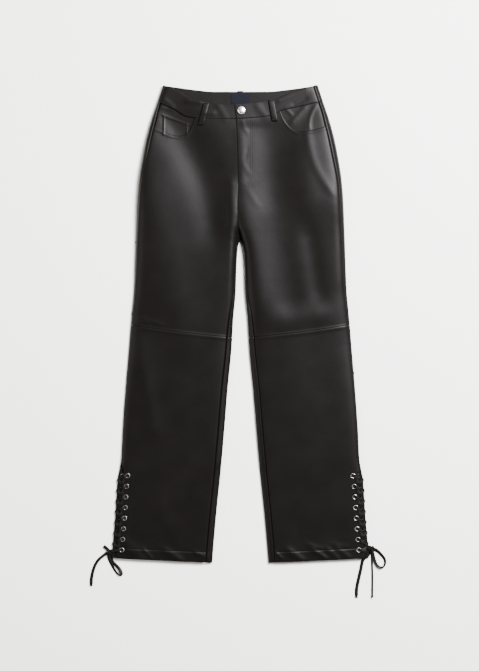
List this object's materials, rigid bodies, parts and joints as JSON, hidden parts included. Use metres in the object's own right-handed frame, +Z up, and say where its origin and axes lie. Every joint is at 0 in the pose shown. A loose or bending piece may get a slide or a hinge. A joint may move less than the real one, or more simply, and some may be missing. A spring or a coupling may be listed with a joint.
{
  "type": "faux leather trousers laid flat",
  "caption": "Straight-legged faux leather trousers laid flat, with knee seams and laced slits at the side of each hem.",
  "frame": {"origin": "centre of the ground that the garment covers, free ends of the laces not counted", "axes": "+Z up out of the front of the garment, +Y towards the waist, -X towards the wearer's right"},
  "size_m": [0.644, 1.1184, 0.0263],
  "materials": {
    "faux_leather": "semi-gloss coated cloth",
    "lace": "satin",
    "label_cloth": "woven",
    "button_metal": "polished",
    "eyelet_metal": "satin"
  },
  "bodies": {
    "root": {"front_thigh_right": "faux_leather", "front_shin_right": "faux_leather", "back_thigh_right": "faux_leather", "back_shin_right": "faux_leather", "front_thigh_left": "faux_leather", "front_shin_left": "faux_leather", "back_thigh_left": "faux_leather", "back_shin_left": "faux_leather", "waistband_right": "faux_leather", "waistband_left": "faux_leather", "waistband_back": "faux_leather", "pocket_facing_right": "faux_leather", "pocket_facing_left": "faux_leather", "coin_pocket": "faux_leather", "belt_loop_front_right": "faux_leather", "belt_loop_front_left": "faux_leather", "belt_loop_back": "faux_leather", "lace_weave_right": "lace", "lace_weave_left": "lace", "lace_knot_right": "lace", "lace_loop_right": "lace", "lace_tail_right": "lace", "lace_knot_left": "lace", "lace_loop_left": "lace", "lace_tail_left_1": "lace", "lace_tail_left_2": "lace", "label": "label_cloth", "button": "button_metal", "eyelet_front_right_1": "eyelet_metal", "eyelet_front_right_2": "eyelet_metal", "eyelet_front_right_3": "eyelet_metal", "eyelet_front_right_4": "eyelet_metal", "eyelet_front_right_5": "eyelet_metal", "eyelet_front_right_6": "eyelet_metal", "eyelet_front_right_7": "eyelet_metal", "eyelet_front_right_8": "eyelet_metal", "eyelet_back_right_1": "eyelet_metal", "eyelet_back_right_2": "eyelet_metal", "eyelet_back_right_3": "eyelet_metal", "eyelet_back_right_4": "eyelet_metal", "eyelet_back_right_5": "eyelet_metal", "eyelet_back_right_6": "eyelet_metal", "eyelet_back_right_7": "eyelet_metal", "eyelet_back_right_8": "eyelet_metal", "eyelet_front_left_1": "eyelet_metal", "eyelet_front_left_2": "eyelet_metal", "eyelet_front_left_3": "eyelet_metal", "eyelet_front_left_4": "eyelet_metal", "eyelet_front_left_5": "eyelet_metal", "eyelet_front_left_6": "eyelet_metal", "eyelet_front_left_7": "eyelet_metal", "eyelet_front_left_8": "eyelet_metal", "eyelet_back_left_1": "eyelet_metal", "eyelet_back_left_2": "eyelet_metal", "eyelet_back_left_3": "eyelet_metal", "eyelet_back_left_4": "eyelet_metal", "eyelet_back_left_5": "eyelet_metal", "eyelet_back_left_6": "eyelet_metal", "eyelet_back_left_7": "eyelet_metal", "eyelet_back_left_8": "eyelet_metal"}
  },
  "joints": []
}
